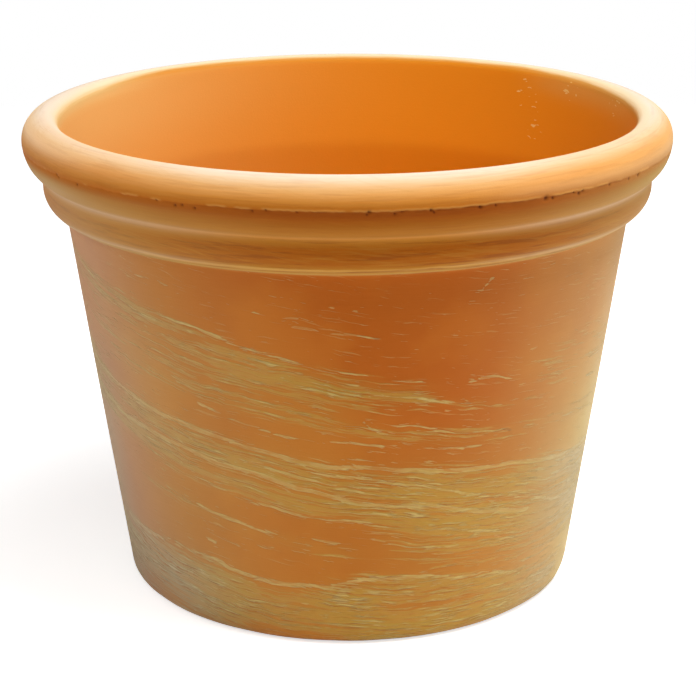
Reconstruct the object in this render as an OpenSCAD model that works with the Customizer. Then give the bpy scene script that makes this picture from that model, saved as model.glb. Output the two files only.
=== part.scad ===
// Terracotta flower pot, pressed and turned in one piece from one clay.
// A tapering wall carries a half-round bead, and over it a thick rolled rim.
// The whole form is one profile of straight lines and tangent arcs, spun about the pot's axis.
// The origin is the middle of the ground that the pot stands on, and +Z points up.

/* [Overall] */
// Diameter over the rolled rim, the widest place of the pot
rim_d = 350; // [280:5:450]
// Height from the ground to the crest of the rim
pot_h = 260; // [200:5:360]
// Thickness of the wall, square to its surface
wall_t = 12.5; // [8:0.5:18]
// Lean of the wall from upright, in degrees
wall_lean = 8.1; // [4:0.1:12]

/* [Rolled rim] */
// Radius of the rim's round shoulder, from the crest to the widest place
crown_r = 13; // [10:0.5:18]
// Radius of the round that carries the rim under itself, below the widest place
under_r = 20.5; // [18:0.5:28]
// Radius of the round inner lip of the mouth
lip_r = 7; // [4:0.5:12]

/* [Bead] */
// How far the bead's face lies inside the widest place of the rim
bead_in = 10.5; // [8:0.5:14]
// Radius of the round under the bead's face
bead_r = 13.4; // [9:0.2:18]
// How far the bead stands out from the top of the wall
bead_out = 11.5; // [7:0.5:15]
// Height between the rim's widest place and the lower end of the bead's face
bead_drop = 25; // [21:0.5:34]
// Radius of the soft crease between the rim and the bead
crease_r = 3; // [1:0.5:5]
// Radius of the soft corner between the bead and the wall
neck_r = 2; // [1:0.5:4]

/* [Inside] */
// Thickness of the floor over the foot ring
floor_t = 16; // [12:1:24]
// Radius of the hollow corner between floor and wall
floor_r = 14; // [6:1:25]
// Radius of the soft bend where the inner wall starts to open to the mouth
bend_r = 40; // [10:5:80]

/* [Foot and drainage] */
// Radius of the worn edge between wall and ground
heel_r = 6.5; // [2:0.5:10]
// Width of the flat ring that the pot stands on
foot_w = 18; // [10:1:30]
// Depth of the hollow inside the foot ring
foot_hollow = 3; // [1:0.5:5]
// Diameter of the drainage hole
drain_d = 28; // [12:1:50]
// Bevel at both mouths of the drainage hole
drain_bevel = 1.5; // [0.5:0.5:3]

/* [Hidden] */
$fn = 144;
// Overlap that lets a cut pass clear of a face
clear = 1;
// Hair's breadth by which a round crosses the lines that it would otherwise only touch
snug = 0.002;

// Widest place of the rim
rim_r = rim_d / 2;
rim_z = pot_h - crown_r;
// Centres of the rim's three rounds, each as [radius from the axis, height]
crown_c = [rim_r - crown_r, rim_z];
under_c = [rim_r - under_r, rim_z];
lip_c = [rim_r - crown_r, pot_h - lip_r];
// Face of the bead and the centre of its round
bead_face = rim_r - bead_in;
bead_z = rim_z - bead_drop;
bead_c = [bead_face - bead_r, bead_z];

// Outer wall line: radius at the height of the bead's centre, and at the ground if it ran on
lean_s = sin(wall_lean);
lean_c = cos(wall_lean);
lean_t = tan(wall_lean);
wall_top = bead_face - bead_out;
wall_foot = wall_top - (bead_z - bead_r) * lean_t;
function wall_at(z) = wall_foot + z * lean_t;
// Inner wall line, parallel to the outer one
function inside_at(z) = wall_at(z) - wall_t / lean_c;

// Crease: a small circle that touches the rim's under round and the bead's face from outside
crease_x = bead_face + crease_r;
crease_c = [crease_x, rim_z - sqrt(pow(under_r + crease_r, 2) - pow(crease_x - under_c.x, 2))];
crease_on_rim = touch(under_c, crease_c, under_r);
crease_on_bead = [bead_face, crease_c.y];

// Neck: a small circle that touches the bead's round and the wall from outside
bead_off = (bead_c.x - wall_at(bead_c.y)) * lean_c;
neck_t = sqrt(pow(bead_r + neck_r, 2) - pow(neck_r - bead_off, 2));
neck_foot = on_wall(bead_c, bead_off, neck_t);
neck_c = neck_foot + neck_r * [lean_c, -lean_s];
neck_on_bead = touch(bead_c, neck_c, bead_r);

// Heel: a circle that touches the wall and the ground from inside
heel_c = [wall_at(heel_r) - heel_r / lean_c, heel_r];
heel_on_wall = heel_c + heel_r * [lean_c, -lean_s];
foot_ring_r = heel_c.x - foot_w;

// Hollow corner of the floor: touches the floor and the inner wall
corner_c = [inside_at(floor_t + floor_r) - floor_r / lean_c, floor_t + floor_r];
corner_on_wall = corner_c + floor_r * [lean_c, -lean_s];

// Inner wall above the bend: a straight line from the bend to the lip's round, which it touches
bend_z = bead_z - bead_r;
bend_p = [inside_at(bend_z), bend_z];
lip_far = norm(lip_c - bend_p);
flare = atan2(lip_c.x - bend_p.x, lip_c.y - bend_p.y) - asin(lip_r / lip_far);
lip_on_flare = lip_c + lip_r * [-cos(flare), sin(flare)];
// The bend's circle lies in the clay and touches both lines
bend_len = bend_r * tan((flare - wall_lean) / 2);
bend_low = bend_p - bend_len * [lean_s, lean_c];
bend_high = bend_p + bend_len * [sin(flare), cos(flare)];
bend_c = bend_low + bend_r * [lean_c, -lean_s];

// Point where two circles touch, on the line from the first centre towards the second
function touch(from, to, r) = from + r * (to - from) / norm(to - from);

// Foot on the wall line of a point that lies off it, moved down along the wall by a length
function on_wall(p, off, down) = p - off * [lean_c, -lean_s] - down * [lean_s, lean_c];

module disc(c, r) {
    translate(c) circle(r = r);
}

// Disc that is cut off below one height and above another
module disc_between(c, r, low, high) {
    intersection() {
        disc(c, r);
        translate([c.x - r - clear, low]) square([2 * (r + clear), high - low]);
    }
}

// Outside of the pot: straight stretches first, then the rounds that stand out, then the soft corners
module outer_shape() {
    difference() {
        union() {
            polygon([
                [0, 0], [heel_c.x, 0], heel_c, heel_on_wall,
                neck_foot, neck_c, neck_on_bead, bead_c, [bead_face, bead_z],
                crease_on_bead, crease_c, crease_on_rim, under_c,
                [crown_c.x, rim_z], [crown_c.x, pot_h], [0, pot_h]
            ]);
            disc_between(heel_c, heel_r + snug, 0, pot_h);
            disc(bead_c, bead_r + snug);
            disc_between(under_c, under_r, 0, rim_z);
            disc_between(crown_c, crown_r, rim_z, pot_h + clear);
        }
        disc(neck_c, neck_r + snug);
        disc(crease_c, crease_r + snug);
    }
}

// Space inside the pot, from the floor to the mouth
module hollow_shape() {
    disc_between(corner_c, floor_r + snug, floor_t, pot_h);
    difference() {
        polygon([
            [0, floor_t], [corner_c.x, floor_t], corner_c, corner_on_wall,
            bend_low, bend_c, bend_high, lip_on_flare, lip_c,
            [lip_c.x, pot_h + clear], [0, pot_h + clear]
        ]);
        disc(bend_c, bend_r + snug);
        disc(lip_c, lip_r);
    }
}

// Shallow hollow under the floor, which leaves a ring to stand on
module foot_hollow_shape() {
    polygon([
        [0, -clear], [foot_ring_r, -clear], [foot_ring_r, 0],
        [foot_ring_r - foot_hollow, foot_hollow], [0, foot_hollow]
    ]);
}

module profile() {
    difference() {
        outer_shape();
        hollow_shape();
        foot_hollow_shape();
    }
}

// Drainage hole through the middle of the floor, bevelled at both mouths
module drain() {
    bevel_top = drain_d / 2 + drain_bevel;
    cylinder(d = drain_d, h = floor_t + clear);
    translate([0, 0, foot_hollow]) cylinder(r1 = bevel_top, r2 = drain_d / 2, h = drain_bevel);
    translate([0, 0, floor_t - drain_bevel]) cylinder(r1 = drain_d / 2, r2 = bevel_top, h = drain_bevel);
}

module pot() {
    color("#c8793f")
    difference() {
        rotate_extrude() profile();
        drain();
    }
}

pot();
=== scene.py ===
# Terracotta planter with a rolled rim and a bead, brushed with a thin cream slip while it turned.
# The dictionaries give millimetres and degrees. The meshes are in metres, on the frame's own axes.
import math
import random
import bmesh
import bpy
import numpy as np
from mathutils import Matrix, Vector, noise


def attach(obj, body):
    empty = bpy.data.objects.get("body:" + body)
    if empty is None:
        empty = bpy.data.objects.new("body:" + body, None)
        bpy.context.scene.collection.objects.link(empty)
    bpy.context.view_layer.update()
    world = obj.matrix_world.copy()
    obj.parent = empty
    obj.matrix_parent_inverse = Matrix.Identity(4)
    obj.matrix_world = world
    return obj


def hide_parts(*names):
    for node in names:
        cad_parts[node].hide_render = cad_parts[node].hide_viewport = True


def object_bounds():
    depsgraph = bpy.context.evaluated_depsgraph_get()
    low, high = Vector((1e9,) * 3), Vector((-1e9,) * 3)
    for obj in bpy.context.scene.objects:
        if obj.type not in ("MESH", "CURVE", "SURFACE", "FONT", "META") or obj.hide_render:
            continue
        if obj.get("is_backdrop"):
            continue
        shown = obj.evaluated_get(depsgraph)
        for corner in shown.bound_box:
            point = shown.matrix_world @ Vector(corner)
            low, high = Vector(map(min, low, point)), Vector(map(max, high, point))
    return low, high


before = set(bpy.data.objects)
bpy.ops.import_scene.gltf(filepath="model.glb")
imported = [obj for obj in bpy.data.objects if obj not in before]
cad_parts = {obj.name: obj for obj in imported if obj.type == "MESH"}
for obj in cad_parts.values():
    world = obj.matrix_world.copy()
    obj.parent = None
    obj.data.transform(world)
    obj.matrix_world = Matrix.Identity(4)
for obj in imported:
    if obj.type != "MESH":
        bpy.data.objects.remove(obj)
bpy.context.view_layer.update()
mm = 0.001


def ease(x, low, high):  # from 0 at low to 1 at high, without a corner
    t = np.clip((x - low) / (high - low), 0, 1)
    return t * t * (3 - 2 * t)


def span(x, start, full, fade, end):  # 0 outside start and end, 1 from full to fade
    return ease(x, start, full) * (1 - ease(x, fade, end))


def hump(x, middle, width):  # 1 at the middle, and about a third one width away from it
    return np.exp(-((x - middle) / width) ** 2)


# The turned shape
pot = {
    "rimWidth": 350, "height": 260, "wall": 12.5, "lean": 8.1,
    "crownRound": 13, "underRound": 20.5, "lipRound": 7,
    "beadInset": 10.5, "beadRound": 13.4, "beadStep": 11.5, "beadDrop": 25,
    "creaseRound": 3, "neckRound": 2, "heelRound": 6.5,
    "floor": 16, "floorRound": 14, "bendRound": 40,
    "footWidth": 18, "footHollow": 3, "drain": 28, "drainBevel": 1.5,
    "columns": 224,  # faces round the pot
    "bandCuts": 5,  # extra cuts of each face beside the mould line
    "fineRow": 0.55,  # mm between the rows beside it
    "fineShare": 0.14, "fineTurn": 0.26,  # share of the crown's quarter turn that has them, and radians under it
}
quarter = math.pi / 2


def runTo(bm, tip, x, z, step):  # draws the profile straight on from its tip
    way = Vector((x * mm, 0, z * mm)) - tip.co
    count = max(1, round(way.length / (step * mm)))
    for piece in range(count):
        tip = bmesh.ops.extrude_vert_indiv(bm, verts=[tip])["verts"][0]
        tip.co += way / count
    return tip


def roundTo(bm, tip, centre, turn, step):  # draws it on round a centre, outwards and down where turn is positive
    middle = Vector((centre[0] * mm, 0, centre[1] * mm))
    count = max(2, round(abs(turn) * (tip.co - middle).length / (step * mm)))
    made = bmesh.ops.spin(bm, geom=[tip], cent=middle, axis=(0, 1, 0), angle=turn, steps=count, use_merge=False)
    return [v for v in made["geom_last"] if isinstance(v, bmesh.types.BMVert)][0]


def drawProfile(bm, p):
    lean = math.radians(p["lean"])
    out = Vector((math.cos(lean), -math.sin(lean)))  # square to the wall, outwards
    up = Vector((math.sin(lean), math.cos(lean)))  # along the wall, upwards
    rim, rimZ = p["rimWidth"] / 2, p["height"] - p["crownRound"]
    crown = Vector((rim - p["crownRound"], rimZ))
    lip = Vector((crown.x, p["height"] - p["lipRound"]))
    under = Vector((rim - p["underRound"], rimZ))
    face, beadZ = rim - p["beadInset"], rimZ - p["beadDrop"]
    bead = Vector((face - p["beadRound"], beadZ))
    foot = face - p["beadStep"] - (beadZ - p["beadRound"]) * math.tan(lean)  # wall line carried to the ground

    creaseX = face + p["creaseRound"]
    creaseDrop = math.sqrt((p["underRound"] + p["creaseRound"]) ** 2 - (creaseX - under.x) ** 2)
    creaseTurn = math.atan2(creaseDrop, creaseX - under.x)

    off = (bead.x - foot - bead.y * math.tan(lean)) * math.cos(lean)
    drop = math.sqrt((p["beadRound"] + p["neckRound"]) ** 2 - (p["neckRound"] - off) ** 2)
    neck = bead - out * off - up * drop + out * p["neckRound"]
    neckTurn = math.atan2(bead.y - neck.y, neck.x - bead.x)

    heelZ = p["heelRound"]
    heel = Vector((foot + heelZ * math.tan(lean) - heelZ / math.cos(lean), heelZ))
    heelTop = heel + out * heelZ
    ring, hollow = heel.x - p["footWidth"], p["footHollow"]
    bore, bevel, floor = p["drain"] / 2, p["drainBevel"], p["floor"]

    inside = foot - p["wall"] / math.cos(lean)  # inner wall line carried to the ground
    cornerZ = floor + p["floorRound"]
    corner = Vector((inside + cornerZ * math.tan(lean) - p["floorRound"] / math.cos(lean), cornerZ))
    bend = Vector((inside + (beadZ - p["beadRound"]) * math.tan(lean), beadZ - p["beadRound"]))
    toLip = lip - bend
    flare = math.atan2(toLip.x, toLip.y) - math.asin(p["lipRound"] / toLip.length)
    bendLow = bend - up * p["bendRound"] * math.tan((flare - lean) / 2)
    lipFoot = lip + Vector((-math.cos(flare), math.sin(flare))) * p["lipRound"]

    # The last number of each call is the distance between rows
    tip = bm.verts.new((crown.x * mm, 0, p["height"] * mm))
    tip = roundTo(bm, tip, crown, quarter * (1 - p["fineShare"]), 1.6)
    tip = roundTo(bm, tip, crown, quarter * p["fineShare"], p["fineRow"])
    tip = roundTo(bm, tip, under, p["fineTurn"], p["fineRow"])
    tip = roundTo(bm, tip, under, creaseTurn - p["fineTurn"], 1.5)
    tip = roundTo(bm, tip, (creaseX, rimZ - creaseDrop), -creaseTurn, 0.8)
    tip = runTo(bm, tip, face, beadZ, 1.3)
    tip = roundTo(bm, tip, bead, neckTurn, 1.2)
    tip = roundTo(bm, tip, neck, lean - neckTurn, 0.7)
    tip = runTo(bm, tip, heelTop.x, heelTop.y, 1.5)
    tip = roundTo(bm, tip, heel, quarter - lean, 1.3)
    for x, z, step in ((ring, 0, 4), (ring - hollow, hollow, 2), (bore + bevel, hollow, 12),
                       (bore, hollow + bevel, 2), (bore, floor - bevel, 3), (bore + bevel, floor, 2),
                       (corner.x, floor, 7)):
        tip = runTo(bm, tip, x, z, step)
    tip = roundTo(bm, tip, corner, lean - quarter, 2.5)
    tip = runTo(bm, tip, bendLow.x, bendLow.y, 2.7)
    tip = roundTo(bm, tip, bendLow + out * p["bendRound"], flare - lean, 2.4)
    tip = runTo(bm, tip, lipFoot.x, lipFoot.y, 2.7)
    roundTo(bm, tip, lip, quarter - flare, 1.2)


potBm = bmesh.new()
drawProfile(potBm, pot)
bmesh.ops.remove_doubles(potBm, verts=potBm.verts, dist=0.02 * mm)
potBm.verts.ensure_lookup_table()
points = np.array([v.co for v in potBm.verts])
length = np.r_[0, np.cumsum(np.linalg.norm(np.diff(points, axis=0), axis=1))]  # surface length from the crest
inBore = (points[:, 0] < (pot["drain"] / 2 + 0.1) * mm) & (points[:, 2] > pot["floor"] / 2 * mm)
boreAt = int(np.argmax(inBore))
whole = length[-1] + np.linalg.norm(points[-1] - points[0])
length[boreAt:] -= whole  # the crest is 0, the outside counts up from it and the inside down
alongLayer = potBm.verts.layers.float.new("along")
for vert, far in zip(potBm.verts, length):
    vert[alongLayer] = far
bmesh.ops.spin(potBm, geom=potBm.verts[:] + potBm.edges[:], cent=(0, 0, 0), axis=(0, 0, 1), angle=4 * quarter,
               steps=pot["columns"], use_merge=True)
print("rows", len(points), "verts", len(potBm.verts), "faces", len(potBm.faces))

bandTop, bandEnd = 17.8 * mm, 25.6 * mm  # the mould line's band, measured along the surface from the crest
sameRow = 1e-7  # two ends of an edge that runs round the pot differ by less
bandEdges = [e for e in potBm.edges
             if bandTop < e.verts[0][alongLayer] < bandEnd
             and abs(e.verts[0][alongLayer] - e.verts[1][alongLayer]) < sameRow]
bmesh.ops.subdivide_edges(potBm, edges=bandEdges, cuts=pot["bandCuts"], use_grid_fill=True)
bmesh.ops.remove_doubles(potBm, verts=potBm.verts, dist=0.01 * mm)
bmesh.ops.recalc_face_normals(potBm, faces=potBm.faces)
potMesh = bpy.data.meshes.new("turnedPot")
potBm.to_mesh(potMesh)
potBm.free()
print("mesh verts", len(potMesh.vertices), "triangles", sum(len(f.vertices) - 2 for f in potMesh.polygons))

count = len(potMesh.vertices)
co = np.empty(count * 3)
potMesh.vertices.foreach_get("co", co)
co = co.reshape(-1, 3)
along = np.empty(count)
potMesh.attributes["along"].data.foreach_get("value", along)
angle = np.degrees(np.arctan2(co[:, 0], -co[:, 1]))  # 0 at the front, growing to the right
order = np.argsort(length)
# The new cuts lie on chords, so they go out to the round
radius = np.interp(along, length[order], points[order, 0])
turn = np.radians(angle)
co = np.stack([radius * np.sin(turn), -radius * np.cos(turn), co[:, 2]], axis=1)
potMesh.vertices.foreach_set("co", co.ravel())
potMesh.update()
normals = np.empty(count * 3)
potMesh.vertex_normals.foreach_get("vector", normals)
normals = normals.reshape(-1, 3)
far, height = along / mm, co[:, 2] / mm

# Marks of making: where the halves of the press mould met, and the pot's soft unevenness
mould = {
    "edge": 20.5,  # surface distance of the mould line from the crest
    "wander": [(16, 0.4, 3.1), (5, 0.3, 5.7), (2.4, 0.3, 7.9)],  # how it wavers: grain, depth, seed
    "sink": 0.24,  # how far the band round the line lies in
    "lip": 0.28,  # height of the line's lip, where it stands
    "scrape": 0.22, "scrapeWidth": 3.4,  # the flash was scraped off below the edge
    "plain": [  # degrees, and how plainly the edge shows there
        (-180, 0.5), (-150, 1), (-110, 0.5), (-75, 0), (-60, 0.2), (-45, 0.3), (-33, 0.4), (-20, 0.6), (-12, 1),
        (40, 1), (58, 0.6), (72, 0.2), (100, 0.7), (140, 0.3), (180, 0.5)],
    "pits": [  # degrees, mm under the edge, radius
        (3.3, 0.2, 0.9), (3, 1.6, 0.6), (7.3, 1.4, 0.6), (8.4, 0.6, 0.5), (12.9, 0.4, 0.9), (13.4, 1.5, 0.6),
        (20.9, 0.9, 0.9), (23.6, 1.2, 0.5), (32.8, 0.9, 1.3), (34.2, 1.3, 0.8), (38.6, 0.6, 0.6), (39.8, 1.3, 0.9),
        (40.6, 0.4, 0.7), (47.3, 1, 0.8), (53, 1.1, 0.7), (56.2, 1, 0.9), (-7.7, 0.7, 0.5), (-12.6, 0.4, 0.5),
        (-14.8, 1, 0.6), (-24.4, 1.8, 0.7), (-26.6, 1, 0.7), (-27.9, 1.6, 0.8), (-31.3, 0.3, 0.5), (-49.6, 1.3, 0.7),
        (-55.4, 0.9, 0.6), (-56, 0, 0.7)],
    "pitsElsewhere": 26, "seed": 7,
    "pitDepth": 0.75, "pitFall": 0.85,  # depth, and the share of a pit's radius over which it falls off
    "uneven": 0.3, "crestDip": 0.15, "heelWear": 0.4,
}
rimRadius = pot["rimWidth"] / 2
anyHeight = 1e6  # a grain so tall that the noise doesn't change upwards


def noiseAt(sizeX, sizeZ, seed, upward=None):  # smooth noise on the pot, with its grain's two sizes in mm
    upward = height if upward is None else upward
    spots = zip(co[:, 0] / (sizeX * mm), co[:, 1] / (sizeX * mm), upward / sizeZ + seed)
    return np.array([noise.noise(spot) for spot in spots])


edgeFar = np.full(count, mould["edge"])
for grain, depth, seed in mould["wander"]:
    edgeFar += depth * noiseAt(grain, anyHeight, seed)
below = far - edgeFar  # mm under the mould line
nearBand = span(far, 10, 19, 25.5, 31)
plain = np.interp(angle, *zip(*mould["plain"]))
scraped = span(below, -0.1, 0.5, 0.6 * mould["scrapeWidth"], 1.25 * mould["scrapeWidth"])
ragged = noiseAt(5, 0.9, 9.4, far)
lipStands = ease(noiseAt(9, anyHeight, 12.6) + plain, 0.45, 0.75)  # elsewhere the lip broke off
push = -mould["sink"] * nearBand + mould["lip"] * hump(below, -0.25, 0.4) * nearBand * lipStands
push -= scraped * mould["scrape"] * (0.65 + 0.9 * ragged) * (0.3 + 0.7 * plain)
dice = random.Random(mould["seed"])
pits = list(mould["pits"])
for piece in range(mould["pitsElsewhere"]):
    pits.append((dice.uniform(62, 298), dice.uniform(0.5, 2.4), dice.uniform(0.5, 1.3)))
pitMark = np.zeros(count)
for place, down, size in pits:
    across = np.radians((angle - place + 180) % 360 - 180) * rimRadius
    pitHere = np.exp(-(across ** 2 + (below - down) ** 2) / (mould["pitFall"] * size) ** 2) * nearBand
    pitMark = np.maximum(pitMark, pitHere)
push -= mould["pitDepth"] * pitMark
outer = ease(far, 60, 75)
heel = span(far, 262, 271, 278, 284)
swell = mould["uneven"] * outer * (noiseAt(70, 90, 1.3) - 0.1)
worn = mould["heelWear"] * heel * np.clip(noiseAt(24, 12, 4.2) + 0.15, 0, 1)
push += swell - worn
push -= mould["crestDip"] * (1 - ease(np.abs(far), 8, 22)) * np.clip(noiseAt(60, 60, 2.2) + 0.3, 0, 1)
co += normals * (push * mm)[:, None]
over = np.hypot(co[:, 0], co[:, 1]) / (rimRadius * mm)
co[:, :2] /= np.maximum(over, 1)[:, None]  # nothing goes past the pot's own width, ground or crest
co[:, 2] = np.clip(co[:, 2], 0, pot["height"] * mm)
print("relief", round(push.min(), 2), round(push.max(), 2), "mm")

# Slip: thin cream clay brushed on while the wheel turned, so every stroke falls a little to the right
slip = {
    "fall": 0.39,  # mm for each degree round the pot
    "flatten": 0.0006,  # mm for each squared degree, by which that grows less to the right
    "sway": 2.2, "strokeSway": 1.1,  # how far the bristle marks and a stroke's path waver
    "filmAndSheen": [  # degrees, cover of the thin even film high up the wall, and what the lower wall has more. The film is partly slip and partly painted sheen, growing towards the sides
        (-180, 0.3, 0.15), (-140, 0.12, 0.2), (-110, 0.25, 0.25), (-90, 0.34, 0.4), (-70, 0.36, 0.42), (-60, 0.46, 0.1),
        (-50, 0.45, 0.11), (-40, 0.35, 0.19), (-30, 0.21, 0.22), (-20, 0.11, 0.19), (-10, 0.03, 0.2), (0, 0, 0.22),
        (20, 0.01, 0.25), (30, 0.09, 0.24), (40, 0.25, 0.22), (50, 0.38, 0.31), (60, 0.43, 0.4), (70, 0.55, 0.5),
        (90, 0.45, 0.3), (120, 0.2, 0.2), (150, 0.35, 0.1), (180, 0.3, 0.15)],
    "washes": [  # path as (degrees, mm up), mm above and below it, strength
        ([(-84, 198), (-65, 186), (-45, 178), (-30, 170), (-17, 160), (-5, 153), (5, 149), (12, 147)], 4, 11, 0.45),
        ([(-2, 147), (10, 144), (21, 138), (35, 130)], 2.5, 3, 0.35),
        ([(-75, 165), (-40, 156), (-20, 148), (-2, 141)], 14, 12, 0.27),
        ([(-60, 148), (-29, 140), (-21, 137), (-5, 131), (8, 123), (22, 119), (38, 115), (67, 111)], 3, 6, 0.3),
        ([(-84, 131), (-54, 120), (-41, 113), (-17, 104), (0, 95), (20, 90), (45, 82), (95, 66)], 8, 9, 0.55),
        ([(-84, 117), (-54, 104), (-41, 98), (-29, 93), (-12, 86), (5, 79), (30, 69)], 7, 7, 0.5),
        ([(14, 74), (28, 68), (50, 57), (73, 47), (110, 32)], 22, 26, 0.55),
        ([(44, 90), (60, 84), (80, 76), (100, 66)], 6, 14, 0.45),
        ([(-90, 31), (-62, 28), (-50, 27), (-30, 22)], 14, 20, 0.92),
        ([(-40, 24), (-20, 19), (-5, 19), (5, 20)], 12, 14, 0.72),
        ([(-1, 31), (8, 33), (20, 31), (45, 24)], 8, 10, 0.55),
        ([(2, 10), (30, 12), (60, 14)], 9, 22, 0.75),
        ([(-46, 79), (-24, 66), (-2, 56)], 3, 6, 0.28),
        ([(40, 150), (62, 142), (90, 134)], 14, 16, 0.2),
    ],
    "lines": [  # path, mm above and below it, strength
        ([(-84, 197), (-65, 188), (-52, 186), (-45, 181), (-40, 179)], 1.6, 2.1, 0.52),
        ([(-40, 178), (-30, 173.5), (-25, 171), (-20, 167), (-10, 161.5), (-5, 158), (5, 153.5),
          (15, 150.5)], 1.4, 1.8, 0.57),
        ([(-36, 170), (-20, 162), (-8, 156)], 1.3, 1.6, 0.47),
        ([(-4, 146), (2, 144.6), (10, 143.2), (14, 141.8), (19.4, 138.3), (26, 135.5)], 1.4, 1.9, 0.57),
        ([(-60, 151), (-29, 143), (-21, 140), (-5, 134), (8, 126)], 1.4, 1.9, 0.47),
        ([(9, 127), (15, 125.7), (22.5, 119.4), (32, 116.6), (46, 113)], 1.4, 2.2, 0.57),
        ([(-4, 119.5), (4, 116.7), (9, 116), (12, 115.2), (20, 111.8), (29, 109.4)], 1.3, 1.6, 0.68),
        ([(-84, 137), (-54, 126), (-43.5, 121.5), (-34.5, 118.4), (-27, 115.5), (-20, 112.3), (-13.7, 108.5),
          (-9.4, 106), (-3, 104.8), (3, 104), (9.6, 101.9), (15.8, 100.4), (23.7, 98.5), (28.5, 97), (37, 96.4),
          (41, 94.3), (50, 89.4), (56, 87.3), (68, 84.5), (95, 78), (120, 68)], 1.3, 2, 1),
        ([(-5, 110), (3, 108), (10, 105)], 1.1, 1.4, 0.57),
        ([(-24, 105.4), (-15.6, 101), (-9.4, 97.5), (-3.2, 94), (3, 90)], 1.3, 1.6, 0.65),
        ([(-84, 122), (-58, 111), (-46, 108.3), (-39.4, 106), (-32, 102.5), (-28.5, 100.5), (-22, 99), (-16, 95.3),
          (-9.6, 91.7), (-3.4, 88), (3, 83.6), (9.3, 82), (17, 81), (21.3, 77.5), (26, 74.4), (31, 71.2),
          (37, 67.7), (45, 64)], 1.3, 2.2, 1),
        ([(-8, 101), (3, 98), (9.3, 94.2), (15.5, 91.6), (20, 88.7), (23.6, 86), (27.3, 82.4),
          (32, 80)], 1.3, 1.8, 0.74),
        ([(-49, 97), (-37, 90.5), (-32, 88.6), (-24.6, 83.6), (-19, 80), (-12, 77), (-6, 75), (2, 72.8),
          (9, 70)], 1.4, 2.1, 0.63),
        ([(38, 76), (43, 72.6), (47.7, 68.4), (53, 64.2), (59, 60.3), (71, 57), (90, 51),
          (115, 42)], 1.4, 1.9, 0.7),
        ([(58, 70.5), (62, 67.3), (68, 63.5), (80, 58)], 1.4, 1.9, 0.66),
        ([(28, 61.6), (32, 59.3), (37, 56.2)], 1.3, 1.9, 0.66),
        ([(-36, 74), (-33, 72), (-28.5, 70), (-22, 66.5), (-16, 63.6)], 1.4, 2.2, 0.66),
        ([(-7.6, 63.5), (-2.5, 60.3)], 1.1, 1.3, 0.76),
        ([(2.5, 65), (12.5, 57.8), (22, 54)], 1.1, 1.4, 0.57),
        ([(-36.5, 61), (-28.5, 55.7), (-25, 53.5)], 1.3, 1.9, 0.59),
        ([(-21, 56), (-17.5, 54.5)], 1.1, 1.3, 0.71),
        ([(-16.5, 57), (-4.5, 49.7)], 1.1, 1.3, 0.59),
        ([(-90, 52), (-65, 43), (-46, 44.6), (-31, 42.6), (-29, 38.6), (-19, 36), (-5, 34.7), (0, 38.6), (5, 40),
          (19, 38.6), (25, 34.7), (39, 31), (46, 25)], 1.6, 3.8, 0.71),
        ([(25, 147.6), (31, 147.4), (34.5, 144.8)], 1.1, 1.4, 0.68),
        ([(-32, 133), (-27, 130)], 1.3, 1.4, 0.76),
        ([(-25, 128), (-16, 122)], 1.1, 1.3, 0.63),
        ([(3, 130), (5, 125), (8, 123)], 1.1, 1.4, 0.71),
        ([(-15, 121), (-11, 119)], 1.1, 1.3, 0.71),
        ([(-45, 196), (-42, 196)], 1.3, 1.3, 0.66),
        ([(-39, 197), (-36.5, 195)], 1.3, 1.3, 0.68),
        ([(-12, 186), (-9, 186)], 1.1, 1.1, 0.68),
        ([(-18, 187), (-15, 185)], 1.1, 1.1, 0.66),
        ([(-10, 181), (-5, 179)], 1.1, 1.1, 0.68),
        ([(-3, 178), (7, 175)], 1.1, 1.3, 0.68),
        ([(26, 196), (28, 203)], 1.3, 1.3, 0.76),
        ([(-56, 167), (-53, 165)], 1.3, 1.3, 0.66),
        ([(-35, 157), (-30, 155)], 1.1, 1.3, 0.66),
        ([(63, 128), (69, 125)], 1.3, 1.4, 0.71),
        ([(19, 138.8), (22, 137.6)], 1.3, 1.3, 0.76),
        ([(-34, 54), (-32, 53)], 1.4, 1.4, 0.81),
    ],
    "insideFlecks": [(136, 246), (123, 249), (134, 237), (130, 226), (105, 252)],  # degrees, mm up: crumbs of slip
    "backStrokes": 46, "seed": 11,
}
strokeSway = slip["strokeSway"] * noiseAt(16, 30, 14.2)


# Gives how far off a stroke's path each point lies, as a share of its width, and 1 for points between its ends
def strokeLaps(path, above, under, fade):
    ways, ups = zip(*path)
    for lap in (-360, 0, 360):
        there = angle + lap
        off = height + strokeSway - np.interp(there, ways, ups)
        inEnds = span(there, ways[0] - fade, ways[0] + 0.3 * fade, ways[-1] - 0.3 * fade, ways[-1] + fade)
        yield off / np.where(off > 0, above, under), inEnds


dice = random.Random(slip["seed"])
washes, lines = list(slip["washes"]), list(slip["lines"])
for piece in range(slip["backStrokes"]):  # the back, which the photograph hides, was brushed as the front was
    start, reach, up = dice.uniform(88, 250), dice.uniform(30, 120), dice.uniform(15, 215)
    end = min(start + reach, 288)
    drop = slip["fall"] * dice.uniform(0.85, 1.15) * (end - start)
    path = [(start, up), ((start + end) / 2, up - drop * dice.uniform(0.42, 0.55)), (end, up - drop)]
    if piece % 3:
        lines.append((path, dice.uniform(0.9, 1.3), dice.uniform(1.3, 2.2), dice.uniform(0.4, 0.95)))
    else:
        washes.append((path, dice.uniform(4, 12), dice.uniform(6, 18), dice.uniform(0.25, 0.55)))
bare = np.ones(count)
for path, above, under, strength in washes:
    laps = strokeLaps(path, above, under, 12)
    bare *= 1 - strength * np.max([np.exp(-off ** 2) * ends for off, ends in laps], axis=0)
lineOff, linePower = np.full((3, count), 9.0), np.zeros((3, count))
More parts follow.
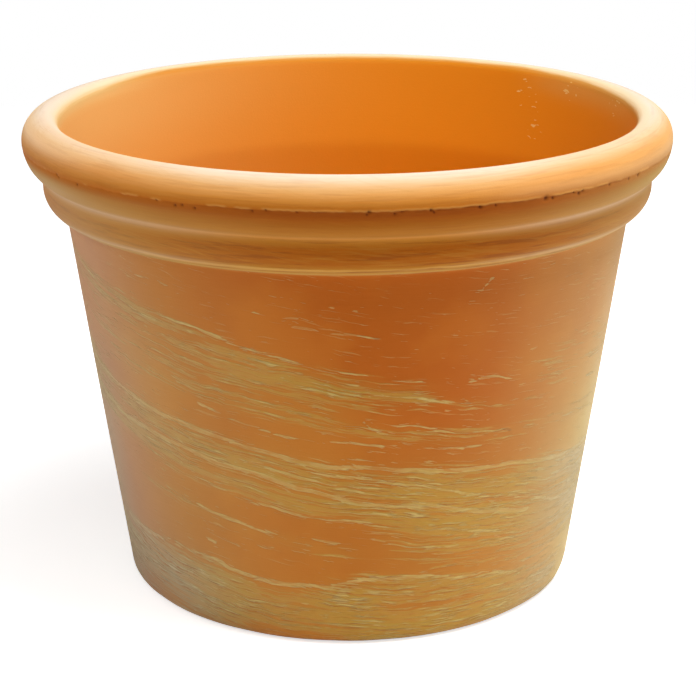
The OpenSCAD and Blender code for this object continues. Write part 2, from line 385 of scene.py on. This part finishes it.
for number, (path, above, under, strength) in enumerate(lines):
    row = number % 3  # neighbours go into different groups, as they would hide each other
    for off, ends in strokeLaps(path, above, under, 3):
        nearer = (ends > 0) & (np.abs(off) < np.abs(lineOff[row]))
        lineOff[row][nearer], linePower[row][nearer] = off[nearer], (strength * ends)[nearer]
linePower *= 1 - ease(np.abs(lineOff), 2, 3.2)


markNames = []


def keepMark(name, values):  # stores one number for each point, for the material to read
    potMesh.attributes.new(name, "FLOAT", "POINT").data.foreach_set("value", np.asarray(values, dtype=np.float32))
    markNames.append(name)


# Slip on the wall
sideways = np.abs(angle)
filmAt, filmHigh, filmLow = zip(*slip["filmAndSheen"])
lowWall = 1 - ease(height, 90, 170)
atSide = ease(sideways, 35, 65)
# the film is partly slip and partly painted sheen, which grows towards the sides
filmAndSheenHere = np.interp(angle, filmAt, filmHigh) + lowWall * np.interp(angle, filmAt, filmLow) * atSide
chalkHere = filmAndSheenHere * (1 - 0.7 * span(angle, 5, 15, 35, 55))
chalkHere += 0.85 * np.exp(-(height / 45) ** 4) * span(-angle, 22, 60, 100, 140)  # the foot is chalkier at the left
softHere = (1 - ease(height, 80, 145)) * np.interp(angle, filmAt, filmLow) * (1 - atSide)
offPatch = height - 140 + 0.4 * (angle + 35)  # mm above a faint pale patch that falls to the right
softHere += 0.14 * hump(offPatch, 0, 32) * span(angle, -72, -45, -10, 12)
wash = (1 - bare) * outer
keepMark("slipSoft", softHere)
keepMark("slipChalk", np.clip(chalkHere, 0, 1))
keepMark("slipWash", wash)
keepMark("hatch", wash * (1 - 0.85 * span(angle, 30, 52, 100, 130)))  # bristle marks, fainter on the right
keepMark("slipWhite", span(-angle, 35, 65, 110, 150) * (0.45 * ease(far, 20, 30) + 0.55 * ease(far, 60, 66)))
keepMark("clayDeep", 0.5 * span(angle, -18, 22, 35, 65) * ease(height, 95, 160))  # deeper clay high on the front
keepMark("onWall", span(far, 64.5, 68, 280, 284))
for row in range(3):
    keepMark(f"lineOff{row}", np.clip(lineOff[row], -4, 4))
    keepMark(f"linePower{row}", linePower[row] * outer)

# Film, partly painted sheen, with painted light inside and painted highlights on crown and bead
underRim = ease(far, 20, 27)
rightCrown = ease(far, 9, 14) * span(angle, 10, 45, 80, 120)
beadFilm = 1 - 0.5 * hump(far, 50, 6) * ease(angle, 0, 20) * (1 - 0.7 * ease(angle, 38, 50))
rightLip = 0.3 * hump(far, -12, 7) * span(angle, 85, 105, 122, 142)
creaseFilm = 0.25 * hump(far, 28, 5) * span(sideways, 45, 65, 95, 120)
keepMark("slipFilmAndSheen", filmAndSheenHere * (underRim * beadFilm + (1 - underRim) * rightCrown * 0.6) + rightLip + creaseFilm)
leftLip = span(-angle, 42, 62, 112, 140)
# painted light: the inner wall at the back left is painted paler where the light from the right falls on it, and the
# inner lip at the left is paler too
farLeft = (0.5 + 0.5 * np.cos(np.radians(angle + 105))) ** 5
litInsideWall = (0.39 - 0.15 * ease(-far, 18, 60)) * (1 - ease(far, -10, -6)) * farLeft
keepMark("paintedPaleLight", litInsideWall + 0.22 * leftLip * hump(far, -11.5, 3.5))
# painted highlight: pale bands on the crown's shoulder at the left and at the right
keepMark("crownPale", 0.5 * hump(far, 10, 3.4) * span(-angle, 40, 70, 95, 120)
         + 0.16 * hump(far, 16.5, 3) * span(angle, 15, 35, 80, 110))
keepMark("crownSide", (1 - ease(np.abs(far - 5.5), 6, 12)) * span(sideways, 18, 45, 62, 92))
# painted highlight: pale bands along the bead's top and its lower edge, at the sides
keepMark("beadShine", (hump(far, 39.5, 2.5) + 0.8 * hump(far, 57, 1.8)) * ease(sideways, 12, 45))
keepMark("bristled", 0.22 * ease(far, -4, 2) + 0.78 * ease(far, 38, 47))
lipSide = span(sideways, 40, 75, 95, 140)  # the pale crest reaches further in at the sides
paleReach = (0.5 * lipSide + 0.3 * leftLip) * np.clip(-far, 0, 6)
keepMark("rimCoat", far + paleReach - (edgeFar - mould["edge"]) * nearBand)
insideDegree = 2.6  # mm round the inner wall for each degree
crumbsAt = [ease(12 - np.hypot((angle - place) * insideDegree, height - up), 0, 6)
            for place, up in slip["insideFlecks"]]
keepMark("insideFleck", np.max(crumbsAt, axis=0) * ease(-far, 6, 9))

# The mould line
atEdge = np.maximum(pitMark, ease(below, -0.5, 0.3) * nearBand)  # little dust shows in pits and under the edge
keepMark("dusty", (0.02 + 0.14 * ease(far, -8, -2) + 0.24 * ease(far, 64.5, 68)) * (1 - 0.9 * atEdge))
keepMark("pitMark", pitMark)
# painted highlight along the lip of the mould line, and painted shade just under its edge
keepMark("edgeLight", hump(below, -0.3, 0.45) * lipStands * nearBand)
keepMark("edgeShade", span(below, 0, 0.3, 0.5, 1.2) * plain * ease(ragged, -0.25, 0.25))
scrapedFront = (1 - 0.6 * ease(angle, 18, 45)) * (1 - 0.8 * ease(sideways, 45, 65))
keepMark("scraped", span(below, 0, 0.5, 2.2, 5.5) * plain * scrapedFront)

# Mm above a line that falls as the strokes do. It jumps at the back for one mark and at the front for the other
sway = slip["sway"] * noiseAt(50, 45, 6.3) + 0.3 * slip["sway"] * noiseAt(14, 18, 8.8)
fallHere = slip["fall"] * (0.4 + 0.6 * ease(height, 10, 80))  # the brush ran flatter at the foot
for name, there in (("frontStroke", angle), ("backStroke", angle % 360 - 180)):
    keepMark(name, height + sway + fallHere * there - slip["flatten"] * there ** 2)
keepMark("frontShare", 1 - ease(sideways, 120, 160))

potMesh.vertices.foreach_set("co", co.ravel())
potMesh.polygons.foreach_set("use_smooth", [True] * len(potMesh.polygons))
potMesh.update()
potPiece = bpy.data.objects.new("turnedPot", potMesh)
bpy.context.scene.collection.objects.link(potPiece)
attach(potPiece, "root")
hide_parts("pot")
print("pot marked")


def linear(hexText):  # an sRGB hex colour as the linear values that a shader reads
    parts = [int(hexText[i:i + 2], 16) / 255 for i in (1, 3, 5)]
    return [c / 12.92 if c <= 0.04045 else ((c + 0.055) / 1.055) ** 2.4 for c in parts] + [1]


def addNode(tree, kind, inputs, **settings):
    node = tree.nodes.new("ShaderNode" + kind)
    node.location = (190 * len(tree.nodes), 0)
    for name, value in settings.items():
        setattr(node, name, value)
    for socket, value in inputs.items():
        if isinstance(value, bpy.types.Node):
            value = value.outputs[0]
        if isinstance(value, bpy.types.NodeSocket):
            tree.links.new(value, node.inputs[socket])
        else:
            node.inputs[socket].default_value = value
    return node


# Terracotta, pressed and fired: a dry, open surface that scatters light, dusty where it is seen flat along.
# Over it lies slip, the same clay thinned with chalky water, brushed on and fired with it.
finish = {
    "clayPale": "#D6751B", "clayDark": "#CB660D", "clayCloud": 55,  # mm across the clouds
    "filmAndSheen": "#D2AE62", "filmWhite": "#CBAF90", "slipThin": "#CDA547", "slipThick": "#E7D182",
    "chalkThin": "#CAB48B", "chalkThick": "#DFCEA2",
    "wander": (11, 6),  # mm round and up, of the noise that wavers the bristle marks
    "slipGrain": {  # mm along, mm across, detail; hairs and flecks are drawn wider than real ones, to show
        "fleck": (9, 1.2, 2), "hair": (28, 1.1, 2), "streak": (100, 4.2, 3), "cloud": (110, 14, 2)},
    "coatGrain": {  # mm along, mm across, detail, roughness
        "rag": (22, 1.2, 3, 0.55), "bristle": (34, 2, 4, 0.6), "chip": (5, 1.5, 2, 0.5)},
    "grit": 0.9,  # grains of temper, drawn about twice as coarse as usual ones so that they show
    "relief": {"grit": 0.09, "veil": 0.12, "thick": 0.44, "hatch": 0.62},  # mm of height in the bump
    "coatAndHighlight": [  # colour over rim and bead, by mm from the crest: the slip's brushed colour, with painted highlight in the near-white cream round the crest
        (-10.5, "#D97D03"), (-8, "#D07E10"), (-6.6, "#CC8A3A"), (-5.6, "#D8A868"), (-4.8, "#E2C294"), (-3, "#E8D2AC"),
        (0, "#E2CDB8"), (4, "#E3C8A8"), (7, "#E1BA8C"), (10, "#E3AC6C"), (13, "#E6A256"), (16, "#DF9038"),
        (18.5, "#D07C20"), (21, "#C46A0E"), (25, "#B65E06"), (29, "#B86A10"), (34, "#C0781E"), (37, "#C27C26"),
        (39.5, "#D7913A"), (42.5, "#D08220"), (45.5, "#C66A06"), (53, "#BF6808"), (56.2, "#C27C1C"), (57.2, "#DCA64E"),
        (58.2, "#D9A24C"), (59.4, "#C78830"), (62, "#CC9F46"), (64.5, "#CD9B40"), (67, "#CC8126"),
    ],
    "crownSide": (0.98, 0.85, 0.68, 1),  # the crown's colour at the sides, as a share of what it is in front
    # the first colour is a painted highlight on the bead, the fourth painted light inside, and the last a painted
    # highlight on the crown
    "paintedBeadShine": "#DFBC9E", "beadDark": "#A14B08", "beadPale": "#CB882C", "paintedPaleLight": "#EBCE8A", "crownPale": "#F8D0A4",
    # the first colour here is painted shadow, laid under each hair
    "hairShadePaint": "#B05A0A", "scrapedClay": "#A04802", "edgeShade": "#8A3C02", "edgeLight": "#E0A452",
    # painted shade in the pits
    "pitShade": "#501A00",
}
clay = bpy.data.materials.new("firedTerracotta")
clay.use_nodes = True
tree = clay.node_tree
tree.nodes.clear()
marks = {name: addNode(tree, "Attribute", {}, attribute_name=name).outputs["Fac"] for name in markNames}
for row in range(3):
    off = addNode(tree, "Math", {0: marks[f"lineOff{row}"]}, operation="ABSOLUTE")
    near = addNode(tree, "MapRange", {"Value": off, "From Min": 1.7, "From Max": 0}, interpolation_type="SMOOTHSTEP")
    line = addNode(tree, "Math", {0: near, 1: marks[f"linePower{row}"]}, operation="MULTIPLY")
    marks["slipLine"] = addNode(tree, "Math", {0: line, 1: marks["slipLine"]}, operation="MAXIMUM") if row else line

objectPlace = addNode(tree, "TexCoord", {}).outputs["Object"]
inMm = addNode(tree, "VectorMath", {0: objectPlace, 1: (1 / mm,) * 3}, operation="MULTIPLY")
flat = addNode(tree, "SeparateXYZ", {0: inMm})
long, wide = finish["wander"]
waverPlace = addNode(tree, "VectorMath", {0: inMm, 1: (1 / long, 1 / long, 1 / wide)}, operation="MULTIPLY")
waver = addNode(tree, "TexNoise", {"Vector": waverPlace, "Scale": 1, "Detail": 1})
sides = {}
for side in ("frontStroke", "backStroke"):
    wavered = addNode(tree, "Math", {0: waver, 1: 2.4, 2: marks[side]}, operation="MULTIPLY_ADD")
    strokePlace = addNode(tree, "CombineXYZ", {0: flat.outputs[0], 1: flat.outputs[1], 2: wavered})
    for name, (long, wide, detail) in finish["slipGrain"].items():
        scaled = addNode(tree, "VectorMath", {0: strokePlace, 1: (1 / long, 1 / long, 1 / wide)}, operation="MULTIPLY")
        noiseHere = {"Scale": 1, "Detail": detail, "Roughness": 0.55}
        sides[side, name] = addNode(tree, "TexNoise", {"Vector": scaled, **noiseHere})
        if name == "hair":  # the same hairs moved down by most of their width, for the painted shadow under each hair
            lowered = addNode(tree, "VectorMath", {0: scaled, 1: (0, 0, 0.8)}, operation="ADD")
            sides[side, "under"] = addNode(tree, "TexNoise", {"Vector": lowered, **noiseHere})
grain = {}
for name in (*finish["slipGrain"], "under"):
    grain[name] = addNode(tree, "Mix", {0: marks["frontShare"], 2: sides["backStroke", name],
                                        3: sides["frontStroke", name]}, data_type="FLOAT")

# Bands: the thin wash lies in strokes with sharp edges, where it dried a little thicker
streakPart = addNode(tree, "Math", {0: grain["streak"], 1: 0.65}, operation="MULTIPLY")
cloudSum = addNode(tree, "Math", {0: grain["cloud"], 1: 0.25, 2: streakPart}, operation="MULTIPLY_ADD")
hatchSum = addNode(tree, "Math", {0: grain["hair"], 1: 0.7, 2: cloudSum}, operation="MULTIPLY_ADD")
bandSum = addNode(tree, "Math", {0: marks["slipWash"], 1: 0.38, 2: hatchSum}, operation="MULTIPLY_ADD")
bandOn = addNode(tree, "MapRange", {"Value": marks["slipWash"], "From Min": 0.02, "From Max": 0.16},
                 interpolation_type="SMOOTHSTEP")
bandFill = addNode(tree, "MapRange", {"Value": bandSum, "From Min": 0.945, "From Max": 0.985, "To Max": 0.4})
bandRise = addNode(tree, "MapRange", {"Value": bandSum, "From Min": 1.01, "From Max": 1.25, "To Max": 0.45})
bandEdge = addNode(tree, "MapRange", {"Value": bandSum, "From Min": 1.02, "From Max": 0.99, "To Max": 0.3})
bandBoth = addNode(tree, "Math", {0: bandFill, 1: bandRise}, operation="ADD")
edgeHere = addNode(tree, "Math", {0: bandFill, 1: bandEdge}, operation="MULTIPLY")
bands = addNode(tree, "Math", {0: bandBoth, 1: bandOn}, operation="MULTIPLY")
# Hairs: single bristle marks, denser inside the washes
hairSum = addNode(tree, "Math", {0: marks["slipWash"], 1: 0.1, 2: grain["hair"]}, operation="MULTIPLY_ADD")
hairLine = addNode(tree, "MapRange", {"Value": hairSum, "From Min": 0.63, "From Max": 0.66})
hairBreak = addNode(tree, "MapRange", {"Value": grain["fleck"], "From Min": 0.42, "From Max": 0.56})
hairs = addNode(tree, "Math", {0: hairLine, 1: hairBreak}, operation="MULTIPLY")
hairShare = addNode(tree, "Math", {0: marks["slipWash"], 1: 0.66, 2: 0.2}, operation="MULTIPLY_ADD", use_clamp=True)
hairSlip = addNode(tree, "Math", {0: hairs, 1: hairShare}, operation="MULTIPLY")
gaps = addNode(tree, "MapRange", {"Value": grain["hair"], "From Min": 0.43, "From Max": 0.38, "To Min": 1,
                                  "To Max": 0.55})
veil = addNode(tree, "Math", {0: bands, 1: gaps}, operation="MULTIPLY")  # clay shows between the bristle marks
# Flecks: short raised crumbs that the bristles left, thicker beside the strokes
fleckLift = addNode(tree, "Math", {0: marks["slipWash"], 1: 0.11, 2: grain["fleck"]}, operation="MULTIPLY_ADD")
fleckSum = addNode(tree, "Math", {0: marks["slipLine"], 1: 0.1, 2: fleckLift}, operation="MULTIPLY_ADD")
flecks = addNode(tree, "MapRange", {"Value": fleckSum, "From Min": 0.685, "From Max": 0.745, "To Max": 0.38},
                 interpolation_type="SMOOTHSTEP")
# Lines: the slip's thick edges
lineStreak = addNode(tree, "Math", {0: grain["streak"], 1: 0.5, 2: marks["slipLine"]}, operation="MULTIPLY_ADD")
lineSum = addNode(tree, "Math", {0: grain["hair"], 1: 1.1, 2: lineStreak}, operation="MULTIPLY_ADD")
lineFill = addNode(tree, "MapRange", {"Value": lineSum, "From Min": 1.38, "From Max": 1.44})
lineLip = addNode(tree, "MapRange", {"Value": lineSum, "From Min": 1.6, "From Max": 1.48, "To Min": 0.42,
                                     "To Max": 0.7})
edges = addNode(tree, "Math", {0: lineFill, 1: lineLip}, operation="MULTIPLY")
crumbs = addNode(tree, "MapRange", {"Value": grain["fleck"], "From Min": 0.41, "From Max": 0.55, "To Min": 0.42},
                 interpolation_type="SMOOTHSTEP")
edgeSlip = addNode(tree, "Math", {0: edges, 1: crumbs}, operation="MULTIPLY")
thickest = addNode(tree, "Math", {0: edgeSlip, 1: hairSlip}, operation="MAXIMUM")
thicker = addNode(tree, "Math", {0: thickest, 1: flecks}, operation="MAXIMUM")
edgeOn = addNode(tree, "Math", {0: edgeHere, 1: bandOn}, operation="MULTIPLY")
thick = addNode(tree, "Math", {0: thicker, 1: edgeOn}, operation="MAXIMUM")

# Clay: soft clouds from uneven firing, and temper grains
cloudPlace = addNode(tree, "VectorMath", {0: inMm, 1: (1 / finish["clayCloud"],) * 3}, operation="MULTIPLY")
cloud = addNode(tree, "TexNoise", {"Vector": cloudPlace, "Scale": 1, "Detail": 3, "Roughness": 0.5})
cloudFac = addNode(tree, "MapRange", {"Value": cloud, "From Min": 0.35, "From Max": 0.65},
                   interpolation_type="SMOOTHSTEP")
clayShare = addNode(tree, "Math", {0: cloudFac, 1: marks["clayDeep"]}, operation="ADD", use_clamp=True)
tone = {}
for name, share, first, second in (("clay", clayShare, "clayPale", "clayDark"),
                                   ("filmAndSheen", marks["slipWhite"], "filmAndSheen", "filmWhite"),
                                   ("thin", marks["slipChalk"], "slipThin", "chalkThin"),
                                   ("thick", marks["slipChalk"], "slipThick", "chalkThick")):
    tone[name] = addNode(tree, "Mix", {0: share, 6: linear(finish[first]), 7: linear(finish[second])},
                         data_type="RGBA").outputs[2]
softTone = addNode(tree, "MapRange", {"Value": grain["cloud"], "From Min": 0.3, "From Max": 0.7, "To Min": 0.2,
                                      "To Max": 0.42})
softShare = addNode(tree, "Math", {0: softTone, 1: marks["slipWash"], 2: marks["slipSoft"]}, operation="MULTIPLY_ADD")
# Painted shadow: the clay is painted darker along the lower side of each hair, as if the hair shaded it
hairShadeSum = addNode(tree, "Math", {0: marks["slipWash"], 1: 0.1, 2: grain["under"]}, operation="MULTIPLY_ADD")
hairShadeLine = addNode(tree, "MapRange", {"Value": hairShadeSum, "From Min": 0.61, "From Max": 0.66, "To Max": 0.64})
hairShadeShare = addNode(tree, "Math", {0: marks["hatch"], 1: 1.1, 2: 0.1}, operation="MULTIPLY_ADD", use_clamp=True)
hairShadeBroken = addNode(tree, "Math", {0: hairShadeLine, 1: hairBreak}, operation="MULTIPLY")
hairShadeHere = addNode(tree, "Math", {0: hairShadeBroken, 1: hairShadeShare}, operation="MULTIPLY")
# The wall's colour, from the clay up
wall = tone["clay"]
for share, colour in ((marks["slipFilmAndSheen"], tone["filmAndSheen"]), (softShare, tone["thin"]), (veil, tone["thin"]),
                      (hairShadeHere, linear(finish["hairShadePaint"])), (thick, tone["thick"])):
    wall = addNode(tree, "Mix", {0: share, 6: wall, 7: colour}, data_type="RGBA").outputs[2]

# Coat: rim and bead, coloured by the distance from the crest, with edges ragged along the turning. The near-white cream
# round the crest is painted highlight
coatPlace = addNode(tree, "CombineXYZ", {0: flat.outputs[0], 1: flat.outputs[1], 2: marks["rimCoat"]})
coatGrain = {}
for name, (long, wide, detail, rough) in finish["coatGrain"].items():
    scaled = addNode(tree, "VectorMath", {0: coatPlace, 1: (1 / long, 1 / long, 1 / wide)}, operation="MULTIPLY")
    coatGrain[name] = addNode(tree, "TexNoise", {"Vector": scaled, "Scale": 1, "Detail": detail, "Roughness": rough})
ragCentred = addNode(tree, "Math", {0: coatGrain["rag"], 1: 0.5}, operation="SUBTRACT")
coatFar = addNode(tree, "Math", {0: ragCentred, 1: 2.2, 2: marks["rimCoat"]}, operation="MULTIPLY_ADD")
coatLow, coatHigh = finish["coatAndHighlight"][0][0], finish["coatAndHighlight"][-1][0]
coatAt = addNode(tree, "MapRange", {"Value": coatFar, "From Min": coatLow, "From Max": coatHigh})
ramp = addNode(tree, "ValToRGB", {0: coatAt})
stops = ramp.color_ramp.elements
while len(stops) > 1:
    stops.remove(stops[-1])
for number, (stop, colour) in enumerate(finish["coatAndHighlight"]):
    at = (stop - coatLow) / (coatHigh - coatLow)
    element = stops[0] if number == 0 else stops.new(at)
    element.position, element.color = at, linear(colour)
coatAndHighlight = ramp.outputs[0]
for colour, strokes, start, full, most in (("beadDark", coatGrain["bristle"], 0.5, 0.36, 0.6),
                                           ("beadPale", coatGrain["bristle"], 0.54, 0.68, 0.38),
                                           ("beadPale", grain["hair"], 0.54, 0.64, 0.3)):
    band = addNode(tree, "MapRange", {"Value": strokes, "From Min": start, "From Max": full, "To Max": most},
                   interpolation_type="SMOOTHSTEP")
    bandShare = addNode(tree, "Math", {0: band, 1: marks["bristled"]}, operation="MULTIPLY")
    coatAndHighlight = addNode(tree, "Mix", {0: bandShare, 6: coatAndHighlight, 7: linear(finish[colour])}, data_type="RGBA").outputs[2]
coatAndHighlight = addNode(tree, "Mix", {0: marks["crownSide"], 6: coatAndHighlight, 7: finish["crownSide"]}, data_type="RGBA",
               blend_type="MULTIPLY").outputs[2]
# painted highlight on the bead's edges
shine = addNode(tree, "Math", {0: marks["beadShine"], 1: 0.56}, operation="MULTIPLY")
chipLift = addNode(tree, "Math", {0: marks["insideFleck"], 1: 0.2, 2: coatGrain["chip"]}, operation="MULTIPLY_ADD")
chips = addNode(tree, "MapRange", {"Value": chipLift, "From Min": 0.84, "From Max": 0.88, "To Max": 0.5})
# these mix in the film, partly painted sheen, then painted light inside, a painted highlight on the crown and the
# painted shine on the bead
for share, colour in ((marks["slipFilmAndSheen"], tone["filmAndSheen"]), (marks["paintedPaleLight"], linear(finish["paintedPaleLight"])),
                      (marks["crownPale"], linear(finish["crownPale"])), (shine, linear(finish["paintedBeadShine"])),
                      (chips, linear(finish["slipThick"]))):
    coatAndHighlight = addNode(tree, "Mix", {0: share, 6: coatAndHighlight, 7: colour}, data_type="RGBA").outputs[2]
base = addNode(tree, "Mix", {0: marks["onWall"], 6: coatAndHighlight, 7: wall}, data_type="RGBA").outputs[2]
# scraped clay, painted shade under the edge, a painted highlight on its lip, and painted shade in the pits
for mark, colour, most in (("scraped", "scrapedClay", 0.65), ("edgeShade", "edgeShade", 0.42),
                           ("edgeLight", "edgeLight", 0.55), ("pitMark", "pitShade", 0.92)):
    share = addNode(tree, "Math", {0: marks[mark], 1: most}, operation="MULTIPLY", use_clamp=True)
    base = addNode(tree, "Mix", {0: share, 6: base, 7: linear(finish[colour])}, data_type="RGBA").outputs[2]

# Relief too fine for the mesh: grains, and the slip's own thickness
high = finish["relief"]
gritPlace = addNode(tree, "VectorMath", {0: inMm, 1: (1 / finish["grit"],) * 3}, operation="MULTIPLY")
grit = addNode(tree, "TexNoise", {"Vector": gritPlace, "Scale": 1, "Detail": 3, "Roughness": 0.6})
gritHigh = addNode(tree, "Math", {0: grit, 1: high["grit"]}, operation="MULTIPLY")
veilHigh = addNode(tree, "Math", {0: veil, 1: high["veil"], 2: gritHigh}, operation="MULTIPLY_ADD")
wallThick = addNode(tree, "Math", {0: thick, 1: marks["onWall"]}, operation="MULTIPLY")
slipHigh = addNode(tree, "Math", {0: wallThick, 1: high["thick"], 2: veilHigh}, operation="MULTIPLY_ADD")
hatchShare = addNode(tree, "Math", {0: marks["hatch"], 1: high["hatch"]}, operation="MULTIPLY")
hatchHigh = addNode(tree, "Math", {0: grain["hair"], 1: hatchShare, 2: slipHigh}, operation="MULTIPLY_ADD")
ragShare = addNode(tree, "MapRange", {"Value": marks["rimCoat"], "From Min": -12, "From Max": -6, "To Min": 0.03,
                                      "To Max": 0.12})
ragHigh = addNode(tree, "Math", {0: coatGrain["rag"], 1: ragShare, 2: hatchHigh}, operation="MULTIPLY_ADD")
bump = addNode(tree, "Bump", {"Strength": 1, "Distance": mm, "Height": ragHigh})
shader = addNode(tree, "BsdfPrincipled", {
    "Base Color": base, "Roughness": 0.78, "IOR": 1.45, "Specular IOR Level": 0.2, "Sheen Weight": marks["dusty"],
    "Sheen Roughness": 0.45, "Sheen Tint": (1, 0.94, 0.72, 1), "Normal": bump})
addNode(tree, "OutputMaterial", {"Surface": shader})
potMesh.materials.append(clay)


# Floor, lamps and camera
studio = {
    "floorWidth": 2600, "floorColour": "#EDEDED", "floorLift": 0.65,
    "worldLight": 0.02,
    "sensor": 36, "lens": 109.5, "tilt": 17.86, "roll": -0.2, "cameraPlace": (0, -1127.9, 486.2),
}
softboxes = [  # name, place, size, watts, aimed at
    ("highRight", (550, -350, 1700), (700, 700), 20.5, (0, 0, 150)),
    ("topRight", (500, 0, 1700), (1000, 1000), 8.4, (0, 0, 150)),
    ("topFront", (0, -600, 1700), (900, 700), 6.6, (0, 0, 150)),
    ("sideLeft", (-1300, -200, 900), (800, 800), 5.6, (0, 0, 150)),
    ("right", (1500, 200, 400), (900, 700), 5, (0, 0, 130)),
    ("front", (0, -1900, 900), (1200, 900), 3.7, (0, 0, 150)),
]

floorBm = bmesh.new()
bmesh.ops.create_grid(floorBm, x_segments=4, y_segments=4, size=studio["floorWidth"] / 2 * mm)
floorMesh = bpy.data.meshes.new("studioFloor")
floorBm.to_mesh(floorMesh)
floorBm.free()
floorPiece = bpy.data.objects.new("studioFloor", floorMesh)
bpy.context.scene.collection.objects.link(floorPiece)
floorPiece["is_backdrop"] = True

paper = bpy.data.materials.new("mattPaper")  # white paper: it bounces light and keeps the pot's shadow
paper.use_nodes = True
tree = paper.node_tree
tree.nodes.clear()
ray = addNode(tree, "LightPath", {})
diffuse = addNode(tree, "BsdfDiffuse", {"Color": linear(studio["floorColour"])})
lift = addNode(tree, "Math", {0: ray.outputs["Is Camera Ray"], 1: studio["floorLift"]}, operation="MULTIPLY")
glow = addNode(tree, "Emission", {"Color": (1, 1, 1, 1), "Strength": lift})
paperBoth = addNode(tree, "AddShader", {0: diffuse, 1: glow})
addNode(tree, "OutputMaterial", {"Surface": paperBoth})
floorMesh.materials.append(paper)

world = bpy.data.worlds.new("whiteRoom")
bpy.context.scene.world = world
world.use_nodes = True
tree = world.node_tree
tree.nodes.clear()
ray = addNode(tree, "LightPath", {})
seen = addNode(tree, "Math", {0: ray.outputs["Is Camera Ray"], 1: ray.outputs["Is Glossy Ray"]}, operation="MAXIMUM")
share = addNode(tree, "Mix", {0: seen, 2: studio["worldLight"], 3: 1.0}, data_type="FLOAT")
sky = addNode(tree, "Background", {"Color": (1, 1, 1, 1), "Strength": share.outputs[0]})
addNode(tree, "OutputWorld", {"Surface": sky})

for name, place, size, watts, target in softboxes:
    lamp = bpy.data.lights.new(name + "Softbox", "AREA")
    lamp.shape = "RECTANGLE"
    lamp.size, lamp.size_y = size[0] * mm, size[1] * mm
    lamp.energy = watts
    lampPiece = bpy.data.objects.new(name + "Softbox", lamp)
    lampPiece.location = Vector(place) * mm
    lampPiece.rotation_euler = (Vector(target) - Vector(place)).to_track_quat("-Z", "Y").to_euler()
    bpy.context.scene.collection.objects.link(lampPiece)

camera = bpy.data.cameras.new("camera")
camera.sensor_width = studio["sensor"]
camera.lens = studio["lens"]
cameraPiece = bpy.data.objects.new("camera", camera)
cameraPiece.matrix_world = (Matrix.Translation(Vector(studio["cameraPlace"]) * mm)
                            @ Matrix.Rotation(quarter - math.radians(studio["tilt"]), 4, "X")
                            @ Matrix.Rotation(math.radians(studio["roll"]), 4, "Z"))
bpy.context.scene.collection.objects.link(cameraPiece)
bpy.context.scene.camera = cameraPiece
bpy.context.scene.view_settings.view_transform = "Standard"

low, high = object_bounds()
print("size", [round(v, 4) for v in (*low, *high)])
